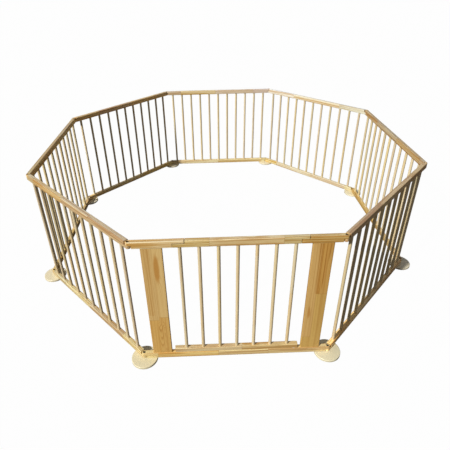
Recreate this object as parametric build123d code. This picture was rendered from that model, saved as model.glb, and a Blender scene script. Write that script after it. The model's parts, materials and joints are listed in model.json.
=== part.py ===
from build123d import *
import math
import os

# Octagonal wooden playpen: eight equal panels hinged into a closed ring, the front one with a gate.
# Frame: +Z up, floor at z = 0, origin at the centre of the ring on the floor.
# The front panel faces -Y; the other panels follow anticlockwise seen from above.

os.makedirs("parts", exist_ok=True)

# ---------------------------------------------------------------- driving dimensions (mm)
SIDES = 8
PITCH = 872.0            # corner pivot to corner pivot along one panel
HEIGHT = 692.0           # floor to the top of the top rail
RAIL_D = 22.0            # rail depth, across the panel
RAIL_H = 32.0            # rail height
RAIL_R = 3.0             # rounded rail edges
FOOT_D = 125.0           # foot disc diameter
FOOT_H = 12.0            # foot disc thickness
FOOT_GAP = 0.4           # a turning panel clears the foot disc by this
SPINDLE_D = 15.0
SPINDLE_PITCH = 77.3
SPINDLE_N = 11           # spindles in a plain panel
SPINDLE_IN = 12.0        # depth of a spindle's socket in the rail
SPINDLE_SHY = 0.5        # glue space at the bottom of a socket
# corner knuckles
KNUCKLE_GAP = 0.8        # height between the upper and the lower knuckle
SHOULDER = 12.5          # pivot to the shoulder the other panel's knuckle turns against
SLEEVE_D = 8.0           # sleeve nut, the corner's pivot
SLEEVE_RUN = 0.06        # radial running clearance of the turning panel's bore
HEAD_D = 13.0
HEAD_H = 2.5
CBORE_D = 14.0
CBORE_TOP = 6.0
CBORE_LOW = 5.0
SCREW_D = 5.0
SOCKET_AF = 5.0
WASHER_D = 18.0
WASHER_T = 0.6
# gate
GATE_N = 7               # gate spindles
GATE_PITCH = 78.3        # gate spindle spacing
GATE_SHIFT = 1.5         # middle gate spindle from the panel's middle
BOARD_X = 347.0          # centre of each door post board from the panel's middle
BOARD_W = 88.0
BOARD_T = 16.0
BOARD_R = 2.5
GATE_BOTTOM_X = 288.0    # half length of the gate's bottom rail
GATE_BOTTOM_H = 24.0
GATE_LIFT = 2.5          # gate's bottom rail above the sill
LAP_L_OUT = -261.0       # left lap: end of the gate's lower tongue
LAP_L_IN = -213.0        # left lap: end of the fixed upper tongue
LAP_L_Z = 11.0           # left lap: thickness of the fixed upper tongue
LAP_GAP = 2.0            # height between the two tongues of a lap
LAP_CUT = 2.6            # width of the upright saw cuts of a lap
LAP_LIP = 1.5            # the fixed rail's rebate lip behind each cut of the left lap, beyond the cut's middle
LAP_LIP_Y = 3.0          # the lip's face, from the middle of the rail's depth
LAP_LIP_RUN = 0.6        # the gate rail clears the lip's face by this
HINGE_X = 271.5          # gate hinge axis from the panel's middle
HINGE_R = 17.0           # rounded end of the hinge tongues
HINGE_SHOULDER = 18.0    # square shoulders of the hinge lap, from the hinge axis
LAP_R_GAP = 1.0          # height between the two hinge tongues
LAP_R_Z = 9.5            # right lap: thickness of the gate's upper tongue
PIN_D = 8.0
PIN_RUN = 0.06
LATCH_X = -252.0
LATCH_D = 6.0
LATCH_TRAVEL = 7.0
KNOB_D = 5.0
DOWEL_D = 8.0

# ---------------------------------------------------------------- derived
STEP_DEG = 360.0 / SIDES
APOTHEM = PITCH / 2 / math.tan(math.radians(STEP_DEG / 2))
HALF = PITCH / 2
TOP_Z0 = HEIGHT - RAIL_H
LOW_Z0 = FOOT_H
LOW_Z1 = FOOT_H + RAIL_H
NAMES = ["front", "right_front", "right", "right_back", "back", "left_back", "left", "left_front"]
# foot k stands under the corner where panel k starts
FEET = ["foot_front_left", "foot_front_right", "foot_right_front", "foot_right_back",
        "foot_back_right", "foot_back_left", "foot_left_back", "foot_left_front"]


def place(shape, k):
    """Carry a shape from the panel's own frame (x along the panel, -y outside) to panel k."""
    loc = Location((0, 0, 0), (0, 0, STEP_DEG * k)) * Location((0, -APOTHEM, 0))
    return loc * shape


def box(x0, x1, y0, y1, z0, z1):
    return Pos((x0 + x1) / 2, (y0 + y1) / 2, (z0 + z1) / 2) * Box(x1 - x0, y1 - y0, z1 - z0)


def rod(d, z0, z1, x=0.0, y=0.0):
    return Pos(x, y, (z0 + z1) / 2) * Cylinder(d / 2, z1 - z0)


def save(name, shapes):
    """Write one node: a single solid, or a group of separate solids."""
    solids = []
    for s in shapes:
        found = s.solids()
        if len(found) != 1:
            raise ValueError(f"{name}: {len(found)} solids where one was meant")
        solids.append(found[0])
    out = solids[0] if len(solids) == 1 else Compound(children=solids)
    out.label = name
    export_step(out, f"parts/{name}.step")
    return out


def rail_blank(z0, z1):
    """Full-length rail with half-round ends centred on the two corner pivots."""
    body = extrude(SlotCenterToCenter(PITCH, RAIL_D), z1 - z0)
    body = Pos(0, 0, z0) * body
    edges = body.edges().filter_by(lambda e: abs(e.center().Z - z0) < 1e-6 or abs(e.center().Z - z1) < 1e-6)
    return fillet(edges, RAIL_R)


def knuckle_cuts(z0, z1, upper, low_cbore, run):
    """The half-lap, pivot bore and head recess at both ends of a rail."""
    mid = (z0 + z1) / 2
    tools = []
    for s in (-1, 1):
        x_in, x_out = s * (HALF - SHOULDER), s * (HALF + 30)
        xa, xb = min(x_in, x_out), max(x_in, x_out)
        if upper:
            tools.append(box(xa, xb, -30, 30, z0 - 5, mid + KNUCKLE_GAP / 2))
            tools.append(rod(SLEEVE_D, mid - 1, z1 + 1, s * HALF))
            tools.append(rod(CBORE_D, z1 - CBORE_TOP, z1 + 1, s * HALF))
        else:
            tools.append(box(xa, xb, -30, 30, mid - KNUCKLE_GAP / 2, z1 + 5))
            tools.append(rod(SLEEVE_D + 2 * run, z0 - 1, mid + 1, s * HALF))
            if low_cbore:
                tools.append(rod(CBORE_D, z0 - 1, z0 + CBORE_LOW, s * HALF))
    return tools


def sockets(xs, z0, z1):
    return [rod(SPINDLE_D, z0, z1, x) for x in xs]


def plain_xs():
    return [(i - (SPINDLE_N - 1) / 2) * SPINDLE_PITCH for i in range(SPINDLE_N)]


def plain_panel(k):
    """Top rail, bottom rail and spindles of one plain panel. Even panels carry the upper knuckles."""
    upper = k % 2 == 0
    xs = plain_xs()
    low0 = LOW_Z0 if upper else LOW_Z0 + FOOT_GAP
    top = rail_blank(TOP_Z0, HEIGHT)
    top = top - knuckle_cuts(TOP_Z0, HEIGHT, upper, True, SLEEVE_RUN)
    top = top - sockets(xs, TOP_Z0 - 1, TOP_Z0 + SPINDLE_IN)
    low = rail_blank(low0, LOW_Z1)
    low = low - knuckle_cuts(LOW_Z0, LOW_Z1, upper, False, SLEEVE_RUN)
    low = low - sockets(xs, LOW_Z1 - SPINDLE_IN, LOW_Z1 + 1)
    rods = [rod(SPINDLE_D, LOW_Z1 - SPINDLE_IN + SPINDLE_SHY, TOP_Z0 + SPINDLE_IN - SPINDLE_SHY, x) for x in xs]
    name = NAMES[k]
    save(f"{name}_top_rail", [place(top, k)])
    save(f"{name}_bottom_rail", [place(low, k)])
    save(f"{name}_spindles", [place(r, k) for r in rods])


def corner_hardware(k):
    """Sleeve nuts, screws and washers of the two corners that an even panel carries, and its two feet."""
    nuts, screws, washers, feet = [], [], [], []
    for s in (-1, 1):
        x = s * HALF
        # top corner: screwed from below, its head inside the other panel's lower knuckle
        # bottom corner: screwed from below through the foot disc, which it clamps to this panel
        for z0, z1, z_head in ((TOP_Z0, HEIGHT, TOP_Z0 + CBORE_LOW - 0.5), (LOW_Z0, LOW_Z1, CBORE_LOW)):
            mid = (z0 + z1) / 2
            nut = rod(SLEEVE_D, z_head, z1 - CBORE_TOP, x) + rod(HEAD_D, z1 - CBORE_TOP, z1 - CBORE_TOP + HEAD_H, x)
            nut = nut - rod(SCREW_D, z_head - 1, z1 - CBORE_TOP - 2, x)
            hexagon = extrude(RegularPolygon(SOCKET_AF / 2 / math.cos(math.pi / 6), 6), 3)
            nut = nut - Pos(x, 0, z1 - CBORE_TOP + HEAD_H - 1.6) * hexagon
            nuts.append(place(nut, k))
            screw = rod(SCREW_D, z_head, z_head + 10, x) + rod(HEAD_D, z_head - HEAD_H, z_head, x)
            screw = screw - Pos(x, 0, z_head - HEAD_H - 1) * extrude(RegularPolygon(SOCKET_AF / 2 / math.cos(math.pi / 6), 6), 2.5)
            screws.append(place(screw, k))
            zw = mid + KNUCKLE_GAP / 2 - WASHER_T
            washer = rod(WASHER_D, zw, zw + WASHER_T, x) - rod(SLEEVE_D, zw - 1, zw + WASHER_T + 1, x)
            washers.append(place(washer, k))
        disc = rod(FOOT_D, 0, FOOT_H, x)
        disc = fillet(disc.edges().filter_by(lambda e: e.center().Z > FOOT_H - 1e-3), 3.0)
        disc = fillet(disc.edges().filter_by(lambda e: e.center().Z < 1e-3), 1.0)
        disc = disc - rod(SLEEVE_D, -1, FOOT_H + 1, x) - rod(CBORE_D, -1, CBORE_LOW, x)
        feet.append(place(disc, k))
    name = NAMES[k]
    save(f"{name}_sleeve_nuts", nuts)
    save(f"{name}_corner_screws", screws)
    save(f"{name}_knuckle_washers", washers)
    save(FEET[k], [feet[0]])
    save(FEET[k + 1], [feet[1]])


def tongue_end(z0, z1, keep):
    """Tool that trims a hinge tongue to an arc about the hinge axis; keep is the tongue's side."""
    reach = 40.0
    blank = box(HINGE_X, HINGE_X + reach, -30, 30, z0, z1) if keep > 0 else box(HINGE_X - reach, HINGE_X, -30, 30, z0, z1)
    return blank - rod(2 * HINGE_R, z0 - 1, z1 + 1, HINGE_X)


def front_panel():
    """Fixed frame of the front panel, with its sill, stub rails, boards, and the gate in it."""
    board_xs = (-BOARD_X, BOARD_X)
    xs = [GATE_SHIFT + (i - (GATE_N - 1) / 2) * GATE_PITCH for i in range(GATE_N)]
    gate_z0 = LOW_Z1 + GATE_LIFT
    gate_z1 = gate_z0 + GATE_BOTTOM_H

    dowel_in_rail, dowel_in_board = 12.0, 16.0
    dowel_xs = [bx + o for bx in board_xs for o in (-22.0, 22.0)]

    # sill
    sill = rail_blank(LOW_Z0, LOW_Z1)
    sill = sill - knuckle_cuts(LOW_Z0, LOW_Z1, True, False, SLEEVE_RUN)
    sill = sill - [rod(DOWEL_D, LOW_Z1 - dowel_in_rail, LOW_Z1 + 1, x) for x in dowel_xs]
    sill = sill - rod(PIN_D, LOW_Z1 - 18, LOW_Z1 + 1, HINGE_X)
    save("front_bottom_rail", [place(sill, 0)])

    # the three lengths of the top rail come from one blank
    blank = rail_blank(TOP_Z0, HEIGHT) - knuckle_cuts(TOP_Z0, HEIGHT, True, True, SLEEVE_RUN)
    lap_z = HEIGHT - LAP_L_Z
    left = blank & (box(-HALF - 40, LAP_L_IN - LAP_CUT / 2, -30, 30, TOP_Z0 - 1, HEIGHT + 1)
                    + box(-HALF - 40, LAP_L_IN + LAP_LIP, LAP_LIP_Y, 30, TOP_Z0 - 1, HEIGHT + 1))
    left = left - box(LAP_L_OUT - LAP_CUT / 2, 0, -30, LAP_LIP_Y, TOP_Z0 - 1, lap_z)
    left = left - box(LAP_L_OUT + LAP_LIP, 0, LAP_LIP_Y - 1, 30, TOP_Z0 - 1, lap_z)
    left = left - [rod(DOWEL_D, TOP_Z0 - 1, TOP_Z0 + dowel_in_rail, x) for x in dowel_xs if x < 0]
    left = left - rod(10.0, lap_z - 1, lap_z + 8.0, LATCH_X)
    save("front_top_rail_left", [place(left, 0)])

    hinge_z = HEIGHT - LAP_R_Z
    right = blank & box(HINGE_X - HINGE_R, HALF + 40, -30, 30, TOP_Z0 - 1, HEIGHT + 1)
    right = right - box(0, HINGE_X + HINGE_SHOULDER, -30, 30, hinge_z - LAP_R_GAP, HEIGHT + 1)
    right = right - tongue_end(TOP_Z0 - 1, HEIGHT + 1, -1)
    right = right - [rod(DOWEL_D, TOP_Z0 - 1, TOP_Z0 + dowel_in_rail, x) for x in dowel_xs if x > 0]
    right = right - rod(PIN_D, TOP_Z0 + 4, HEIGHT + 1, HINGE_X)
    save("front_top_rail_right", [place(right, 0)])

    # boards and their dowels
    boards = []
    for bx in board_xs:
        b = box(bx - BOARD_W / 2, bx + BOARD_W / 2, -BOARD_T / 2, BOARD_T / 2, LOW_Z1, TOP_Z0)
        b = fillet(b.edges().filter_by(Axis.Z), BOARD_R)
        b = b - [rod(DOWEL_D, LOW_Z1 - 1, LOW_Z1 + dowel_in_board, bx + o) for o in (-22.0, 22.0)]
        b = b - [rod(DOWEL_D, TOP_Z0 - dowel_in_board, TOP_Z0 + 1, bx + o) for o in (-22.0, 22.0)]
        boards.append(b)
    save("board_left", [place(boards[0], 0)])
    save("board_right", [place(boards[1], 0)])
    dowels = []
    for x in dowel_xs:
        dowels.append(rod(DOWEL_D, LOW_Z1 - dowel_in_rail + 0.5, LOW_Z1 + dowel_in_board - 0.5, x))
        dowels.append(rod(DOWEL_D, TOP_Z0 - dowel_in_board + 0.5, TOP_Z0 + dowel_in_rail - 0.5, x))
    save("board_dowels", [place(d, 0) for d in dowels])

    # gate top rail: rebated cuts and a lower tongue at the latch end, an upper tongue at the hinge end
    face_y = LAP_LIP_Y - LAP_LIP_RUN
    back_x = LAP_LIP + 1.5
    gate_top = blank & (box(LAP_L_OUT + LAP_CUT / 2, HINGE_X + HINGE_R, -30, face_y, TOP_Z0 - 1, HEIGHT + 1)
                        + box(LAP_L_OUT + back_x, HINGE_X + HINGE_R, -30, 30, TOP_Z0 - 1, HEIGHT + 1))
    gate_top = gate_top - box(LAP_L_OUT - 10, LAP_L_IN + LAP_CUT / 2, -30, 30, lap_z - LAP_GAP, HEIGHT + 1)
    gate_top = gate_top - box(LAP_L_OUT - 10, LAP_L_IN + back_x, face_y, 30, lap_z - LAP_GAP, HEIGHT + 1)
    gate_top = gate_top - box(HINGE_X - HINGE_SHOULDER, HINGE_X + 40, -30, 30, TOP_Z0 - 1, hinge_z)
    gate_top = gate_top - tongue_end(TOP_Z0 - 1, HEIGHT + 1, 1)
    gate_top = gate_top - rod(PIN_D + 2 * PIN_RUN, hinge_z - 1, HEIGHT - 2.5, HINGE_X)
    gate_top = gate_top - sockets(xs, TOP_Z0 - 1, TOP_Z0 + SPINDLE_IN)
    # latch bore, open at the top, and the knob's slot through the inner face
    bolt_z0 = TOP_Z0 + 1.5
    knob_z = bolt_z0 + 4.5
    gate_top = gate_top - rod(LATCH_D + 0.6, bolt_z0 - 0.3, HEIGHT + 1, LATCH_X)
    slot_w = KNOB_D + 0.6
    slot_lo, slot_hi = knob_z - 0.3, knob_z + LATCH_TRAVEL + 0.3
    gate_top = gate_top - box(LATCH_X - slot_w / 2, LATCH_X + slot_w / 2, 0, RAIL_D, slot_lo, slot_hi)
    for zc in (slot_lo, slot_hi):
        gate_top = gate_top - Pos(LATCH_X, RAIL_D / 2, zc) * Rot(90, 0, 0) * Cylinder(slot_w / 2, RAIL_D)
    save("gate_top_rail", [place(gate_top, 0)])

    # gate bottom rail
    gb = box(-GATE_BOTTOM_X, GATE_BOTTOM_X, -RAIL_D / 2, RAIL_D / 2, gate_z0, gate_z1)
    gb = fillet(gb.edges(), 2.5)
    gb = gb - sockets(xs, gate_z1 - SPINDLE_IN, gate_z1 + 1)
    gb = gb - rod(PIN_D + 2 * PIN_RUN, gate_z0 - 1, gate_z0 + 14, HINGE_X)
    save("gate_bottom_rail", [place(gb, 0)])
    rods = [rod(SPINDLE_D, gate_z1 - SPINDLE_IN + SPINDLE_SHY, TOP_Z0 + SPINDLE_IN - SPINDLE_SHY, x) for x in xs]
    save("gate_spindles", [place(r, 0) for r in rods])

    # hinge pins, pressed into the fixed rails, and the washer the gate stands on
    top_pin = rod(PIN_D, TOP_Z0 + 4, HEIGHT - 3.0, HINGE_X)
    low_pin = rod(PIN_D, LOW_Z1 - 18, gate_z0 + 13.5, HINGE_X)
    save("gate_hinge_pins", [place(top_pin, 0), place(low_pin, 0)])
    washer = rod(20.0, LOW_Z1, LOW_Z1 + GATE_LIFT - 0.3, HINGE_X) - rod(PIN_D, LOW_Z1 - 1, LOW_Z1 + 5, HINGE_X)
    save("gate_hinge_washer", [place(washer, 0)])

    # latch: slide bolt with a thumb knob on the inner face, drawn down at rest; strike bush in the fixed rail
    bolt = rod(LATCH_D, bolt_z0, lap_z - LAP_GAP - 0.5, LATCH_X)
    bolt = bolt - Pos(LATCH_X, 1.6 + RAIL_D / 2, knob_z) * Rot(90, 0, 0) * Cylinder(1.5, RAIL_D)
    save("latch_bolt", [place(bolt, 0)])
    stem = Pos(LATCH_X, 3.3 + 6.0, knob_z) * Rot(90, 0, 0) * Cylinder(KNOB_D / 2, 12.0)
    button = Pos(LATCH_X, RAIL_D / 2 + 0.5 + 2.5, knob_z) * Rot(90, 0, 0) * Cylinder(5.0, 5.0)
    button = fillet(button.edges().filter_by(lambda e: e.center().Y > RAIL_D / 2 + 5.0), 1.2)
    spigot = Pos(LATCH_X, 1.7 + 2.0, knob_z) * Rot(90, 0, 0) * Cylinder(1.5, 4.0)
    save("latch_knob", [place(stem + button + spigot, 0)])
    bush = rod(10.0, lap_z, lap_z + 8.0, LATCH_X) - rod(LATCH_D + 0.8, lap_z - 1, lap_z + 7.0, LATCH_X)
    save("latch_strike", [place(bush, 0)])


front_panel()
for k in range(1, SIDES):
    plain_panel(k)
for k in range(0, SIDES, 2):
    corner_hardware(k)
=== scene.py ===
import bpy
import bmesh
import json
import math
import random
import numpy as np
from mathutils import Matrix, Vector


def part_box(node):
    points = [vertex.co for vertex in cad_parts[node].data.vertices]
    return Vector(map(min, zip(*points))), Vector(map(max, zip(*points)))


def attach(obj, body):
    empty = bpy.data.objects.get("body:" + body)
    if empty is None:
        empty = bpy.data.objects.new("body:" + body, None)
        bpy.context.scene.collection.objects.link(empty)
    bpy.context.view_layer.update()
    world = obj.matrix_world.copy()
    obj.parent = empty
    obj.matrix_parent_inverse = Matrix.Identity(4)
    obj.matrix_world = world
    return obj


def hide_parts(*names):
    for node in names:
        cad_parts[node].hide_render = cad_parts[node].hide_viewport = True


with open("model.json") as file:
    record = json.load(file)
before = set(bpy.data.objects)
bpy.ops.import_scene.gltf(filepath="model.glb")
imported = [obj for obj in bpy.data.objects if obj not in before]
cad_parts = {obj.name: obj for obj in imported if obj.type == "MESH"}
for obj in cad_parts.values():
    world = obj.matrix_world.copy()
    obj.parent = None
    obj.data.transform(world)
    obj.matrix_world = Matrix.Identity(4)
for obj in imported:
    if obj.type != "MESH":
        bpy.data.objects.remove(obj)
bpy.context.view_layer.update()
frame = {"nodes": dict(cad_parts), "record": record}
BODY_OF = {n: b for b, ns in frame["record"]["behaviour"]["bodies"].items() for n in ns}
PANELS = ["front", "right_front", "right", "right_back", "back", "left_back", "left", "left_front"]
scene = bpy.context.scene

# ------------------------------------------------------------------ places from the frame
lo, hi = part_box("front_bottom_rail")
APOTHEM = -(lo[1] + hi[1]) / 2
RAIL_D = hi[1] - lo[1]
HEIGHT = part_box("front_top_rail_left")[1][2]


def panel_of(node):
    for k in sorted(range(8), key=lambda i: -len(PANELS[i])):
        if node.startswith(PANELS[k] + "_"):
            return k
    return 0


def to_panel(k):
    """Matrix from the shared frame to panel k's own frame: x along the panel, y inward, z up."""
    return (Matrix.Rotation(math.radians(45 * k), 4, "Z") @ Matrix.Translation((0, -APOTHEM, 0))).inverted()


# ------------------------------------------------------------------ node helpers
class Tree:
    def __init__(self, mat):
        mat.use_nodes = True
        self.t = mat.node_tree
        self.t.nodes.clear()

    def n(self, kind, **kw):
        node = self.t.nodes.new(kind)
        for k, v in kw.items():
            setattr(node, k, v)
        return node

    def link(self, a, b):
        self.t.links.new(a, b)

    def put(self, sock, v):
        if isinstance(v, (int, float)):
            sock.default_value = v
        elif isinstance(v, (tuple, list)):
            sock.default_value = v
        else:
            self.link(v, sock)

    def math(self, op, a, b=None, c=None, clamp=False):
        m = self.n("ShaderNodeMath", operation=op, use_clamp=clamp)
        self.put(m.inputs[0], a)
        if b is not None:
            self.put(m.inputs[1], b)
        if c is not None:
            self.put(m.inputs[2], c)
        return m.outputs[0]

    def vec(self, x, y, z):
        m = self.n("ShaderNodeCombineXYZ")
        for s, v in zip(m.inputs, (x, y, z)):
            self.put(s, v)
        return m.outputs[0]

    def attr(self, name, out="Vector"):
        return self.n("ShaderNodeAttribute", attribute_name=name).outputs[out]

    def sep(self, v):
        m = self.n("ShaderNodeSeparateXYZ")
        self.link(v, m.inputs[0])
        return m.outputs

    def noise(self, v, scale, detail=2.0, rough=0.5, dist=0.0, dims="3D", w=None):
        m = self.n("ShaderNodeTexNoise", noise_dimensions=dims)
        if v is not None:
            self.link(v, m.inputs["Vector"])
        if w is not None:
            self.put(m.inputs["W"], w)
        m.inputs["Scale"].default_value = scale
        m.inputs["Detail"].default_value = detail
        m.inputs["Roughness"].default_value = rough
        m.inputs["Distortion"].default_value = dist
        return m.outputs[0]

    def white(self, w):
        m = self.n("ShaderNodeTexWhiteNoise", noise_dimensions="1D")
        self.put(m.inputs["W"], w)
        return m.outputs["Value"], m.outputs["Color"]

    def mix(self, fac, a, b, blend="MIX"):
        m = self.n("ShaderNodeMix", data_type="RGBA", blend_type=blend)
        self.put(m.inputs[0], fac)
        self.put(m.inputs[6], a)
        self.put(m.inputs[7], b)
        return m.outputs[2]

    def ramp(self, fac, stops, interp="LINEAR"):
        m = self.n("ShaderNodeValToRGB")
        m.color_ramp.interpolation = interp
        e = m.color_ramp.elements
        while len(e) < len(stops):
            e.new(0.5)
        for el, (p, c) in zip(e, stops):
            el.position = p
            el.color = c if len(c) == 4 else (*c, 1)
        self.link(fac, m.inputs[0])
        return m.outputs[0]

    def smooth(self, v, a, b, x=0.0, y=1.0):
        m = self.n("ShaderNodeMapRange", interpolation_type="SMOOTHSTEP")
        self.put(m.inputs[0], v)
        for i, q in enumerate((a, b, x, y)):
            m.inputs[1 + i].default_value = q
        return m.outputs[0]

    def lin(self, v, a, b, x=0.0, y=1.0):
        m = self.n("ShaderNodeMapRange", interpolation_type="LINEAR")
        self.put(m.inputs[0], v)
        for i, q in enumerate((a, b, x, y)):
            m.inputs[1 + i].default_value = q
        return m.outputs[0]


def srgb(r, g, b):
    def f(c):
        c /= 255
        return c / 12.92 if c <= 0.04045 else ((c + 0.055) / 1.055) ** 2.4
    return (f(r), f(g), f(b), 1)


def pine(name, early, late, ring=0.0032, tone=0.10, seg=0.28, joint=True, contrast=0.55, pith=(0.02, 0.05), rough=0.42, coat=0.25, lineamt=0.55, fibre=1.0, streaks=0.0, relief=0.35):
    """Lacquered pine. wco holds metres along the grain (x) and across it (y, z); wseed is one number per stick."""
    mat = bpy.data.materials.new(name)
    t = Tree(mat)
    co, seed = t.attr("wco"), t.attr("wseed", "Fac")
    seed = t.math("DIVIDE", t.math("FLOOR", t.math("MULTIPLY", seed, 997.0)), 997.0)
    x, y, z = t.sep(co)
    # finger-jointed lengths
    if joint:
        u = t.math("ADD", x, t.math("MULTIPLY", seed, 7.31))
        zig = t.math("MULTIPLY", t.math("PINGPONG", y, 0.0035), 1.3)
        uz = t.math("ADD", u, zig)
        v1 = t.n("ShaderNodeTexVoronoi", voronoi_dimensions="1D", feature="F1")
        t.put(v1.inputs["W"], uz)
        v1.inputs["Scale"].default_value = 1 / seg
        v1.inputs["Randomness"].default_value = 0.75
        v2 = t.n("ShaderNodeTexVoronoi", voronoi_dimensions="1D", feature="DISTANCE_TO_EDGE")
        t.put(v2.inputs["W"], uz)
        v2.inputs["Scale"].default_value = 1 / seg
        v2.inputs["Randomness"].default_value = 0.75
        cell = t.sep(v1.outputs["Color"])
        ca, cb, cc = cell[0], cell[1], cell[2]
        line = t.smooth(v2.outputs["Distance"], 0.0002 / seg, 0.0011 / seg, 1.0, 0.0)
    else:
        ra, rc = t.white(seed)
        cell = t.sep(rc)
        ca, cb, cc = cell[0], cell[1], cell[2]
        line = None
    # growth rings round a pith line beside the stick
    flip = t.math("SUBTRACT", t.math("MULTIPLY", t.math("GREATER_THAN", cc, 0.5), 2.0), 1.0)
    oy = t.math("MULTIPLY", t.lin(ca, 0, 1, -0.03, 0.03), 1.0)
    oz = t.math("MULTIPLY", t.lin(cb, 0, 1, pith[0], pith[1]), flip)
    slow = t.vec(t.math("MULTIPLY", x, 2.6), t.math("MULTIPLY", y, 9.0), t.math("ADD", t.math("MULTIPLY", z, 9.0), t.math("MULTIPLY", seed, 31.0)))
    w1 = t.noise(slow, 1.0, 3.0, 0.55)
    slow2 = t.vec(t.math("MULTIPLY", x, 9.0), t.math("MULTIPLY", y, 40.0), t.math("ADD", t.math("MULTIPLY", z, 40.0), t.math("MULTIPLY", seed, 57.0)))
    w2 = t.noise(slow2, 1.0, 2.0, 0.5)
    yy = t.math("ADD", y, oy)
    zz = t.math("ADD", z, oz)
    r = t.math("SQRT", t.math("ADD", t.math("MULTIPLY", yy, yy), t.math("MULTIPLY", zz, zz)))
    r = t.math("ADD", r, t.math("MULTIPLY", t.math("SUBTRACT", w1, 0.5), 0.030))
    r = t.math("ADD", r, t.math("MULTIPLY", t.math("SUBTRACT", w2, 0.5), 0.0022))
    ph = t.math("DIVIDE", r, ring)
    fr = t.math("FRACT", ph)
    band = t.ramp(fr, [(0.0, (0.15,) * 3), (0.08, (0.0,) * 3), (0.55, (0.25,) * 3), (0.86, (1.0,) * 3), (0.95, (0.8,) * 3), (1.0, (0.15,) * 3)])
    # ring strength varies from ring to ring
    rv, _ = t.white(t.math("FLOOR", ph))
    band = t.math("MULTIPLY", band, t.lin(rv, 0, 1, 0.45, 1.0))
    # fibres
    fib = t.vec(t.math("MULTIPLY", x, 14.0), t.math("MULTIPLY", y, 900.0), t.math("ADD", t.math("MULTIPLY", z, 900.0), seed))
    f1 = t.noise(fib, 1.0, 3.0, 0.6)
    cloud = t.noise(t.vec(t.math("MULTIPLY", x, 5.0), t.math("MULTIPLY", y, 30.0), t.math("ADD", t.math("MULTIPLY", z, 30.0), t.math("MULTIPLY", seed, 13.0))), 1.0, 3.0, 0.6)
    base = t.mix(t.math("MULTIPLY", band, contrast), early, late)
    base = t.mix(t.lin(f1, 0.35, 0.7, 0.0, 0.16 * fibre), base, (late[0] * 0.8, late[1] * 0.75, late[2] * 0.7, 1))
    base = t.mix(t.lin(cloud, 0.35, 0.7, 0.0, 0.20 if fibre > 0.5 else 0.05), base, (late[0] * 1.05, late[1] * 0.97, late[2] * 0.9, 1))
    if streaks:
        s2 = t.noise(t.vec(t.math("MULTIPLY", x, 2.5), t.math("MULTIPLY", y, 150.0), t.math("ADD", t.math("MULTIPLY", z, 150.0), t.math("ADD", t.math("MULTIPLY", seed, 9.0), t.math("MULTIPLY", ca, 5.0)))), 1.0, 3.0, 0.55)
        base = t.mix(t.math("MULTIPLY", t.smooth(s2, 0.45, 0.60), streaks), base, (late[0] * 0.92, late[1] * 0.80, late[2] * 0.66, 1))
    # tone of each length: lighter or darker, pinker or yellower
    hsv = t.n("ShaderNodeHueSaturation")
    t.put(hsv.inputs["Hue"], t.lin(cb, 0, 1, 0.492, 0.508))
    t.put(hsv.inputs["Saturation"], t.lin(cc, 0, 1, 0.88, 1.12))
    t.put(hsv.inputs["Value"], t.lin(ca, 0, 1, 1 - tone, 1 + tone))
    t.link(base, hsv.inputs["Color"])
    col = hsv.outputs[0]
    # per-stick factors: partly the stick's own tone, partly painted light lifting sticks in shade and dimming lit
    # ones
    col = t.mix(1.0, col, t.attr("wtone_and_light"), "MULTIPLY")
    # painted light: upward faces tinted by the top-face factors, a painted sky reflection paling them or painted
    # shade darkening them
    up = t.smooth(t.sep(t.n("ShaderNodeNewGeometry").outputs["Normal"])[2], 0.45, 0.85)
    col = t.mix(up, col, t.mix(1.0, col, t.attr("wtop_painted_light"), "MULTIPLY"))
    # painted shade: faces inside the gate's laps turned dark brown, standing in for the shadow in the seams
    col = t.mix(t.attr("wlap_painted_shade", "Fac"), col, (late[0] * 0.38, late[1] * 0.31, late[2] * 0.25, 1))
    sv, _ = t.white(t.math("MULTIPLY", seed, 3.77))
    col = t.mix(1.0, col, t.ramp(sv, [(0, (0.93, 0.92, 0.90)), (1, (1.05, 1.05, 1.06))]), "MULTIPLY")
    if line is not None:
        col = t.mix(t.math("MULTIPLY", line, lineamt), col, (late[0] * 0.45, late[1] * 0.38, late[2] * 0.3, 1))
    b = t.n("ShaderNodeBsdfPrincipled")
    t.link(col, b.inputs["Base Color"])
    b.inputs["Coat Weight"].default_value = coat
    b.inputs["Coat Roughness"].default_value = 0.28
    b.inputs["Specular IOR Level"].default_value = 0.45
    t.put(b.inputs["Roughness"], t.lin(t.math("ADD", t.math("MULTIPLY", f1, 0.6), t.math("MULTIPLY", band, 0.25)), 0.0, 1.0, rough - 0.06, rough + 0.12))
    bump = t.n("ShaderNodeBump")
    bump.inputs["Strength"].default_value = relief
    bump.inputs["Distance"].default_value = 0.0002
    h = t.math("ADD", t.math("MULTIPLY", f1, 0.6), t.math("MULTIPLY", band, 0.5))
    if line is not None:
        h = t.math("SUBTRACT", h, t.math("MULTIPLY", line, 0.8))
    t.link(h, bump.inputs["Height"])
    t.link(bump.outputs[0], b.inputs["Normal"])
    out = t.n("ShaderNodeOutputMaterial")
    t.link(b.outputs[0], out.inputs[0])
    return mat


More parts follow.
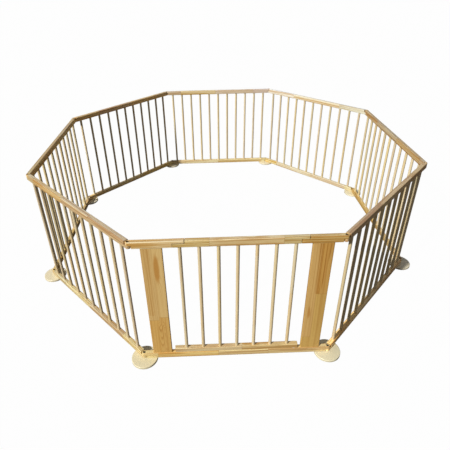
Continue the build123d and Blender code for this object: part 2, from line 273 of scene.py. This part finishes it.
def board(name, seam, joints, tones, flame, vee, streak, seed, grain, core_amt):
    """Door-post board glued up from two strips, each with one finger joint, and its own figure."""
    mat = bpy.data.materials.new(name)
    t = Tree(mat)
    co = t.attr("wco")
    x, y, z = t.sep(co)
    # which strip, and which length of it
    wob = t.math("MULTIPLY", t.math("SUBTRACT", t.noise(t.vec(t.math("MULTIPLY", x, 3.0), 0.0, 0.0), 1.0, 1.0), 0.5), 0.0006)
    side = t.math("GREATER_THAN", t.math("ADD", y, wob), seam)
    teeth = t.math("MULTIPLY", t.math("PINGPONG", z, 0.0028), 1.6)
    xt = t.math("ADD", x, teeth)
    hl = t.math("GREATER_THAN", xt, joints[0])
    hr = t.math("GREATER_THAN", xt, joints[1])
    def pick(a, b, c, d):
        left = t.mix(hl, (*a, 1), (*b, 1))
        right = t.mix(hr, (*c, 1), (*d, 1))
        return t.mix(side, left, right)
    tone = pick(*[tuple(srgb(255 * q[0], 255 * q[1], 255 * q[2])[:3]) for q in tones])
    part = t.math("ADD", t.math("MULTIPLY", side, 2.0), t.math("ADD", t.math("MULTIPLY", hl, t.math("SUBTRACT", 1.0, side)), t.math("MULTIPLY", hr, side)))
    # ring field: nearly straight grain with a slow drift, other in each length
    drift = t.noise(t.vec(t.math("MULTIPLY", x, 2.2), t.math("MULTIPLY", y, 14.0), t.math("ADD", t.math("MULTIPLY", part, 5.3), t.math("ADD", t.math("MULTIPLY", z, 8.0), seed))), 1.0, 3.0, 0.5)
    fine = t.noise(t.vec(t.math("MULTIPLY", x, 9.0), t.math("MULTIPLY", y, 70.0), t.math("MULTIPLY", part, 3.1)), 1.0, 2.0, 0.5)
    r = t.math("ADD", y, t.math("MULTIPLY", t.math("SUBTRACT", drift, 0.5), 0.020))
    r = t.math("ADD", r, t.math("MULTIPLY", t.math("SUBTRACT", fine, 0.5), 0.0022))
    # a flame: the rings close round a long spot
    fz, fy, fh, fw_ = flame
    dx = t.math("DIVIDE", t.math("SUBTRACT", x, fz), fh)
    dy = t.math("DIVIDE", t.math("SUBTRACT", y, fy), fw_)
    g = t.math("ADD", t.math("MULTIPLY", dx, dx), t.math("MULTIPLY", dy, dy))
    g = t.math("ADD", g, t.math("MULTIPLY", t.math("SUBTRACT", fine, 0.5), 0.5))
    g = t.math("EXPONENT", t.math("MULTIPLY", g, -0.9))
    r = t.math("ADD", r, t.math("MULTIPLY", g, fw_ * 1.5))
    vm = None
    if vee:
        vz, vy, reach = vee
        dv = t.math("SUBTRACT", y, vy)
        v = t.math("SUBTRACT", t.math("MULTIPLY", t.math("SUBTRACT", x, vz), 0.106), t.math("MULTIPLY", t.math("MULTIPLY", dv, dv), 37.0))
        v = t.math("ADD", v, t.math("MULTIPLY", t.math("SUBTRACT", fine, 0.5), 0.0018))
        vm = t.math("MULTIPLY", t.smooth(t.math("ABSOLUTE", dv), 0.014, 0.030, 1.0, 0.0), t.smooth(x, reach - 0.03, reach + 0.03, 1.0, 0.0))
        r = t.math("ADD", t.math("MULTIPLY", r, t.math("SUBTRACT", 1.0, vm)), t.math("MULTIPLY", v, vm))
    ph = t.math("DIVIDE", r, 0.0052)
    fr = t.math("FRACT", ph)
    band = t.ramp(fr, [(0.0, (0.25,) * 3), (0.07, (0.0,) * 3), (0.5, (0.22,) * 3), (0.84, (1.0,) * 3), (0.94, (0.85,) * 3), (1.0, (0.25,) * 3)])
    rv, _ = t.white(t.math("ADD", t.math("FLOOR", ph), t.math("MULTIPLY", part, 17.0)))
    band = t.math("MULTIPLY", band, t.lin(rv, 0, 1, 0.25, 1.0))
    if vm is not None:
        band = t.math("MULTIPLY", band, t.math("ADD", 1.0, t.math("MULTIPLY", vm, 0.5)))
    fib = t.vec(t.math("MULTIPLY", x, 12.0), t.math("MULTIPLY", y, 800.0), t.math("MULTIPLY", z, 800.0))
    f1 = t.noise(fib, 1.0, 3.0, 0.6)
    cloud = t.noise(t.vec(t.math("MULTIPLY", x, 6.0), t.math("MULTIPLY", y, 45.0), t.math("MULTIPLY", part, 2.7)), 1.0, 3.0, 0.6)
    col = t.mix(t.math("MULTIPLY", band, 0.85), t.mix(1.0, tone, (1.05, 1.06, 1.08, 1), "MULTIPLY"), t.mix(1.0, tone, (0.66, 0.50, 0.33, 1), "MULTIPLY"))
    col = t.mix(t.lin(f1, 0.35, 0.7, 0.0, 0.22), col, t.mix(1.0, tone, (0.72, 0.60, 0.46, 1), "MULTIPLY"))
    col = t.mix(t.lin(cloud, 0.35, 0.7, 0.0, 0.30), col, t.mix(1.0, tone, (0.86, 0.76, 0.62, 1), "MULTIPLY"))
    # a zone of strong dark streaks along the grain
    x0, x1, (a0, a1), (b0, b1), amount = streak
    lo_, hi_ = t.lin(x, x0, x1, a0, b0), t.lin(x, x0, x1, a1, b1)
    zone = t.math("MULTIPLY", t.math("MULTIPLY", t.smooth(t.math("SUBTRACT", y, lo_), -0.003, 0.003), t.smooth(t.math("SUBTRACT", hi_, y), -0.003, 0.003)),
                  t.math("MULTIPLY", t.math("GREATER_THAN", xt, x0), t.math("LESS_THAN", xt, x1)))
    col = t.mix(t.math("MULTIPLY", zone, 0.30 * amount), col, t.mix(1.0, tone, (0.86, 0.70, 0.44, 1), "MULTIPLY"))
    sn = t.noise(t.vec(t.math("MULTIPLY", x, 2.0), t.math("MULTIPLY", t.math("ADD", y, t.math("MULTIPLY", drift, 0.006)), 190.0), seed), 1.0, 2.0, 0.5)
    col = t.mix(t.math("MULTIPLY", t.math("MULTIPLY", zone, t.smooth(sn, 0.47, 0.60)), 0.72 * amount), col, t.mix(1.0, tone, (0.56, 0.36, 0.15, 1), "MULTIPLY"))
    # broad soft streaks over the whole board
    s2 = t.noise(t.vec(t.math("MULTIPLY", x, 1.6), t.math("MULTIPLY", t.math("ADD", y, t.math("MULTIPLY", drift, 0.008)), 120.0), t.math("ADD", t.math("MULTIPLY", part, 4.1), seed)), 1.0, 3.0, 0.55)
    col = t.mix(t.math("MULTIPLY", t.smooth(s2, 0.45, 0.66), grain), col, t.mix(1.0, tone, (0.66, 0.48, 0.28, 1), "MULTIPLY"))
    core = t.smooth(g, 0.25, 0.75)
    col = t.mix(t.math("MULTIPLY", core, core_amt), col, t.mix(1.0, tone, (0.70, 0.48, 0.25, 1), "MULTIPLY"))
    # joint lines and the glued seam
    def near(v, at, half):
        return t.smooth(t.math("ABSOLUTE", t.math("SUBTRACT", v, at)), half * 0.4, half, 1.0, 0.0)
    jl = t.math("MULTIPLY", near(xt, joints[0], 0.0012), t.math("SUBTRACT", 1.0, side))
    jr = t.math("MULTIPLY", near(xt, joints[1], 0.0012), side)
    sm = t.math("MULTIPLY", near(t.math("ADD", y, wob), seam, 0.0005), 0.5)
    ln = t.math("MAXIMUM", t.math("MAXIMUM", t.math("MULTIPLY", jl, 0.55), t.math("MULTIPLY", jr, 0.75)), sm)
    col = t.mix(t.math("MULTIPLY", ln, 0.75), col, t.mix(1.0, tone, (0.42, 0.30, 0.18, 1), "MULTIPLY"))
    b = t.n("ShaderNodeBsdfPrincipled")
    t.link(col, b.inputs["Base Color"])
    b.inputs["Coat Weight"].default_value = 0.25
    b.inputs["Coat Roughness"].default_value = 0.28
    b.inputs["Specular IOR Level"].default_value = 0.45
    t.put(b.inputs["Roughness"], t.lin(t.math("ADD", t.math("MULTIPLY", f1, 0.6), t.math("MULTIPLY", band, 0.25)), 0.0, 1.0, 0.36, 0.54))
    bump = t.n("ShaderNodeBump")
    bump.inputs["Strength"].default_value = 0.35
    bump.inputs["Distance"].default_value = 0.0002
    h = t.math("ADD", t.math("MULTIPLY", f1, 0.6), t.math("MULTIPLY", band, 0.5))
    h = t.math("SUBTRACT", h, t.math("MULTIPLY", ln, 0.8))
    t.link(h, bump.inputs["Height"])
    t.link(bump.outputs[0], b.inputs["Normal"])
    out = t.n("ShaderNodeOutputMaterial")
    t.link(b.outputs[0], out.inputs[0])
    return mat


def simple(name, color, rough=0.4, metal=0.0, var=0.06, scale=300.0, coat=0.0):
    mat = bpy.data.materials.new(name)
    t = Tree(mat)
    tc = t.n("ShaderNodeTexCoord").outputs["Object"]
    n1 = t.noise(tc, scale, 4.0, 0.6)
    n2 = t.noise(tc, scale * 0.12, 3.0, 0.6)
    c1 = tuple(max(0.0, c * (1 - var)) for c in color[:3]) + (1,)
    c2 = tuple(min(1.0, c * (1 + var)) for c in color[:3]) + (1,)
    col = t.mix(t.lin(n2, 0.3, 0.7), c1, c2)
    b = t.n("ShaderNodeBsdfPrincipled")
    t.link(col, b.inputs["Base Color"])
    b.inputs["Metallic"].default_value = metal
    b.inputs["Coat Weight"].default_value = coat
    t.put(b.inputs["Roughness"], t.lin(n1, 0.3, 0.7, max(0.05, rough - 0.07), rough + 0.07))
    bump = t.n("ShaderNodeBump")
    bump.inputs["Strength"].default_value = 0.2
    bump.inputs["Distance"].default_value = 0.0001
    t.link(n1, bump.inputs["Height"])
    t.link(bump.outputs[0], b.inputs["Normal"])
    out = t.n("ShaderNodeOutputMaterial")
    t.link(b.outputs[0], out.inputs[0])
    return mat


EARLY = srgb(215, 194, 142)
LATE = srgb(172, 132, 68)
M_RAIL = pine("pine_rail", EARLY, LATE, tone=0.09, seg=0.30, contrast=0.80, ring=0.0046, pith=(0.012, 0.032), streaks=0.80)
M_SPINDLE = pine("pine_spindle", srgb(215, 199, 161), srgb(189, 158, 108), tone=0.06, seg=0.45, contrast=0.40, ring=0.0035, lineamt=0.2)
BOARDS = {
    # seam between the two glued strips; joint heights of the left and the right strip; tone of each length
    # (left strip low, high, right strip low, high); flame (z, y, half height, half width); cathedral (z, y, reach)
    "board_left": dict(seam=0.0012, joints=(0.262, 0.278), tones=((0.83, 0.675, 0.39), (0.825, 0.70, 0.465), (0.83, 0.675, 0.395), (0.85, 0.73, 0.49)),
                       flame=(0.548, 0.0140, 0.080, 0.0125), vee=(0.0508, 0.0045, 0.235), streak=(0.29, 0.66, (-0.040, -0.012), (-0.040, -0.012), 0.6), seed=0.0, grain=0.40, core_amt=0.95),
    "board_right": dict(seam=-0.0040, joints=(0.120, 0.387), tones=((0.80, 0.665, 0.38), (0.81, 0.67, 0.42), (0.80, 0.665, 0.38), (0.785, 0.625, 0.345)),
                        flame=(0.272, -0.0262, 0.042, 0.0060), vee=None, streak=(0.387, 0.66, (-0.010, 0.012), (-0.018, 0.036), 1.25), seed=5.0, grain=0.50, core_amt=0.75),
}
M_FOOT = pine("foot_wood", srgb(219, 211, 182), srgb(207, 194, 158), tone=0.03, joint=False, contrast=0.08, ring=0.004, rough=0.35, fibre=0.1, relief=0.06)
M_STEEL = simple("dark_steel", (0.06, 0.055, 0.05), 0.45, 1.0)
M_ZINC = simple("zinc_steel", (0.55, 0.55, 0.56), 0.35, 1.0)
M_NYLON = simple("nylon", (0.72, 0.68, 0.60), 0.5)
M_BRASS = simple("brass", (0.75, 0.55, 0.25), 0.35, 1.0)
M_DOWEL = simple("dowel", (0.6, 0.45, 0.28), 0.7)


# ------------------------------------------------------------------ pieces from the frame's own meshes
def islands(bm):
    seen, out = set(), []
    for v in bm.verts:
        if v in seen:
            continue
        stack, part = [v], []
        seen.add(v)
        while stack:
            a = stack.pop()
            part.append(a)
            for e in a.link_edges:
                b = e.other_vert(a)
                if b not in seen:
                    seen.add(b)
                    stack.append(b)
        out.append(part)
    return out


# colour of single sticks against the rest, fitted stick by stick: red, green, blue factors; partly each stick's
# own tone, partly painted light that lifts sticks standing in shade and dims lit ones
STICK_TONE_AND_PAINTED_LIGHT = {
    "front_top_rail_left": (1.35, 1.45, 1.90),
    "front_top_rail_right": (0.95, 0.88, 0.76),
    "gate_top_rail": (1.11, 1.18, 1.25),
    "front_bottom_rail": (1.25, 1.30, 1.15),
    "gate_bottom_rail": (1.10, 1.14, 1.22),
    "back_top_rail": (1.08, 1.20, 1.90),
    "back_bottom_rail": (1.36, 1.60, 1.95),
    "right_back_top_rail": (1.24, 1.57, 2.60),
    "right_back_bottom_rail": (1.12, 1.38, 2.05),
    "right_top_rail": (0.87, 0.86, 0.95),
    "right_front_top_rail": (1.05, 0.96, 0.84),
    "right_front_bottom_rail": (1.80, 1.80, 1.70),
    "left_back_top_rail": (1.50, 1.44, 1.52),
    "left_back_bottom_rail": (1.60, 1.68, 1.48),
    "left_top_rail": (1.52, 1.45, 1.28),
    "left_front_bottom_rail": (1.10, 1.28, 1.70),
}

# painted light on the top face of a rail: red, green, blue factors on upward faces, a painted sky reflection that
# makes them paler and bluer, or painted shade that makes them darker
TOP_FACE_PAINTED_LIGHT = {n: (1.0, 1.08, 1.30) for n in frame["nodes"] if n.endswith("_top_rail") or n.startswith("front_top_rail")}
TOP_FACE_PAINTED_LIGHT.update({
    "right_top_rail": (0.74, 0.79, 0.84),
    "right_front_top_rail": (0.74, 0.78, 0.96),
    "left_back_top_rail": (0.62, 0.64, 0.72),
    "left_top_rail": (0.56, 0.62, 0.83),
})


def painted_lap_shade(node, poly, m):
    """1 on the faces inside the gate's laps that get painted shade, a dark brown standing in for the shadow in the
    lap seams, 0 elsewhere.
    """
    if node not in ("front_top_rail_left", "front_top_rail_right", "gate_top_rail"):
        return 0.0
    c, n = poly.center, poly.normal
    x, z = c[0], c[2]
    at_lap = -0.266 < x < -0.205
    inner = HEIGHT - 0.0155 < z < HEIGHT - 0.006 and abs(n[2]) > 0.9
    return 1.0 if at_lap and (inner or abs(n[2]) < 0.1 and abs(n[1]) < 0.9 or (abs(n[1]) > 0.9 and abs(c[1] + APOTHEM) < RAIL_D * 0.4)) else 0.0


def carry(node, grain, mat, bevel=0.0, seed=None):
    """A copy of one CAD node with its seams closed, soft arrises and grain coordinates."""
    src = frame["nodes"][node]
    bm = bmesh.new()
    bm.from_mesh(src.data)
    bmesh.ops.remove_doubles(bm, verts=bm.verts, dist=2e-6)
    bmesh.ops.dissolve_limit(bm, angle_limit=math.radians(0.5), verts=bm.verts, edges=bm.edges)
    if node == "gate_top_rail":
        # the saw cut at the foot of the latch lap is finer than the solid's clearance
        end = min(v.co.x for v in bm.verts)
        for v in bm.verts:
            if v.co.x < end + 0.0004:
                v.co.x -= 0.0017
    me = bpy.data.meshes.new(node + "_wood")
    parts = islands(bm)
    bm.verts.index_update()
    part_of = {}
    for i, p in enumerate(parts):
        for v in p:
            part_of[v.index] = i
    bm.to_mesh(me)
    bm.free()
    n = len(me.vertices)
    co = np.empty(n * 3)
    me.vertices.foreach_get("co", co)
    co = co.reshape(-1, 3)
    k = panel_of(node)
    m = np.array(to_panel(k))
    loc = co @ m[:3, :3].T + m[:3, 3]
    rnd = random.Random(sum(ord(c) * (i + 1) for i, c in enumerate(node)) if seed is None else seed)
    w = np.empty_like(loc)
    s = np.empty(n)
    idx = np.array([part_of[i] for i in range(n)])
    for i in range(len(parts)):
        sel = idx == i
        q = loc[sel]
        mid = (q.min(0) + q.max(0)) / 2
        if grain == "x":
            w[sel] = np.stack([q[:, 0], q[:, 1] - mid[1], q[:, 2] - mid[2]], 1)
        elif grain == "z":
            w[sel] = np.stack([q[:, 2], q[:, 0] - mid[0], q[:, 1] - mid[1]], 1)
        else:
            a = rnd.uniform(0, math.pi)
            d = q - mid
            w[sel] = np.stack([d[:, 0] * math.cos(a) + d[:, 1] * math.sin(a), -d[:, 0] * math.sin(a) + d[:, 1] * math.cos(a), d[:, 2]], 1)
        s[sel] = (math.floor(rnd.uniform(0, 1) * 997) + 0.5) / 997
    a1 = me.attributes.new("wco", "FLOAT_VECTOR", "POINT")
    a1.data.foreach_set("vector", w.astype(np.float32).ravel())
    a2 = me.attributes.new("wseed", "FLOAT", "POINT")
    a2.data.foreach_set("value", s.astype(np.float32))
    # per-stick factors, partly the stick's own tone and partly painted light
    a3 = me.attributes.new("wtone_and_light", "FLOAT_VECTOR", "POINT")
    a3.data.foreach_set("vector", np.tile(np.array(STICK_TONE_AND_PAINTED_LIGHT.get(node, (1.0, 1.0, 1.0)), dtype=np.float32), n))
    # top-face factors: painted sky reflection and painted shade on upward faces
    a4 = me.attributes.new("wtop_painted_light", "FLOAT_VECTOR", "POINT")
    a4.data.foreach_set("vector", np.tile(np.array(TOP_FACE_PAINTED_LIGHT.get(node, (1.0, 1.0, 1.0)), dtype=np.float32), n))
    # mask for the painted shade inside the gate's laps
    a5 = me.attributes.new("wlap_painted_shade", "FLOAT", "FACE")
    a5.data.foreach_set("value", [painted_lap_shade(node, p, m) for p in me.polygons])
    me.polygons.foreach_set("use_smooth", [True] * len(me.polygons))
    me.set_sharp_from_angle(angle=math.radians(32))
    ob = bpy.data.objects.new(node + "_piece", me)
    scene.collection.objects.link(ob)
    me.materials.append(mat)
    if bevel:
        bv = ob.modifiers.new("arris", "BEVEL")
        bv.width = bevel
        bv.segments = 2
        bv.limit_method = "ANGLE"
        bv.angle_limit = math.radians(50)
        bv.harden_normals = False
        bv.use_clamp_overlap = True
    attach(ob, BODY_OF[node])
    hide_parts(node)
    return ob


for node in sorted(frame["nodes"]):
    if node.endswith("_spindles"):
        carry(node, "z", M_SPINDLE)
    elif node in ("board_left", "board_right"):
        carry(node, "z", board("pine_" + node, **BOARDS[node]))
    elif node.startswith("foot_"):
        carry(node, "disc", M_FOOT)
    elif node.endswith("_rail") or node.startswith("front_top_rail"):
        carry(node, "x", M_RAIL, bevel=0.0006)
    else:
        o = frame["nodes"][node]
        mat = M_STEEL
        if node in ("gate_hinge_pins", "latch_bolt", "latch_knob"):
            mat = M_ZINC
        elif node.endswith("_washers") or node == "gate_hinge_washer":
            mat = M_NYLON
        elif node == "latch_strike":
            mat = M_BRASS
        elif node == "board_dowels":
            mat = M_DOWEL
        o.data.materials.clear()
        o.data.materials.append(mat)

# ------------------------------------------------------------------ floor, light and camera
me = bpy.data.meshes.new("floor")
S = 60.0
me.from_pydata([(-S, -S, 0), (S, -S, 0), (S, S, 0), (-S, S, 0)], [], [(0, 1, 2, 3)])
floor = bpy.data.objects.new("floor", me)
scene.collection.objects.link(floor)
floor.location.z = -0.0002
fm = bpy.data.materials.new("floor_white")
t = Tree(fm)
lp = t.n("ShaderNodeLightPath")
em = t.n("ShaderNodeEmission")
em.inputs[0].default_value = (1, 1, 1, 1)
em.inputs[1].default_value = 0.985
df = t.n("ShaderNodeBsdfDiffuse")
df.inputs[0].default_value = (0.004, 0.004, 0.004, 1)
add = t.n("ShaderNodeAddShader")
t.link(em.outputs[0], add.inputs[0])
t.link(df.outputs[0], add.inputs[1])
gr = t.n("ShaderNodeBsdfDiffuse")
gr.inputs[0].default_value = (0.13, 0.12, 0.105, 1)
mx = t.n("ShaderNodeMixShader")
t.link(lp.outputs["Is Camera Ray"], mx.inputs[0])
t.link(gr.outputs[0], mx.inputs[1])
t.link(add.outputs[0], mx.inputs[2])
out = t.n("ShaderNodeOutputMaterial")
t.link(mx.outputs[0], out.inputs[0])
me.materials.append(fm)

world = bpy.data.worlds.new("studio")
scene.world = world
t = Tree(world)
lp = t.n("ShaderNodeLightPath")
b1 = t.n("ShaderNodeBackground")
b1.inputs[0].default_value = (0.90, 0.89, 0.88, 1)
b1.inputs[1].default_value = 0.175
b3 = t.n("ShaderNodeBackground")
b3.inputs[0].default_value = (0.90, 0.95, 1.0, 1)
b3.inputs[1].default_value = 0.75
b2 = t.n("ShaderNodeBackground")
b2.inputs[0].default_value = (1, 1, 1, 1)
b2.inputs[1].default_value = 1.0
m0 = t.n("ShaderNodeMixShader")
t.link(lp.outputs["Is Glossy Ray"], m0.inputs[0])
t.link(b1.outputs[0], m0.inputs[1])
t.link(b3.outputs[0], m0.inputs[2])
mx = t.n("ShaderNodeMixShader")
t.link(lp.outputs["Is Camera Ray"], mx.inputs[0])
t.link(m0.outputs[0], mx.inputs[1])
t.link(b2.outputs[0], mx.inputs[2])
out = t.n("ShaderNodeOutputWorld")
t.link(mx.outputs[0], out.inputs[0])

az, el = math.radians(48), math.radians(36)
to_sun = Vector((-math.sin(az) * math.cos(el), -math.cos(az) * math.cos(el), math.sin(el)))
sun = bpy.data.lights.new("key", "SUN")
sun.energy = 4.6
sun.angle = math.radians(1.5)
sun.color = (1.0, 0.985, 0.945)
so = bpy.data.objects.new("key", sun)
so.rotation_euler = (-to_sun).to_track_quat("-Z", "Y").to_euler()
so.location = to_sun * 6
scene.collection.objects.link(so)

scene.view_settings.view_transform = "Standard"
scene.view_settings.look = "None"

cam = bpy.data.cameras.new("cam")
co_ = bpy.data.objects.new("cam", cam)
scene.collection.objects.link(co_)
yaw, pitch, roll, f_px = 0.0211, 0.5137, -0.0198, 402.199
cx, cy, cz = -0.11420, -2.34009, 1.64487
fw = Vector((math.sin(yaw) * math.cos(pitch), math.cos(yaw) * math.cos(pitch), -math.sin(pitch)))
right = fw.cross(Vector((0, 0, 1))).normalized()
up = right.cross(fw)
c, s = math.cos(roll), math.sin(roll)
r2 = c * right + s * up
u2 = -s * right + c * up
rot = Matrix((r2, u2, -fw)).transposed()
co_.matrix_world = Matrix.Translation((cx, cy, cz)) @ rot.to_4x4()
cam.sensor_width = 36.0
cam.sensor_fit = "HORIZONTAL"
cam.lens = f_px / 450 * 36.0
# principal point at (225 + dx, 225 + dy) in a 450 square picture, y down
dx, dy = -10.094, -36.406
cam.shift_x = -dx / 450
cam.shift_y = dy / 450
cam.clip_end = 200
scene.camera = co_
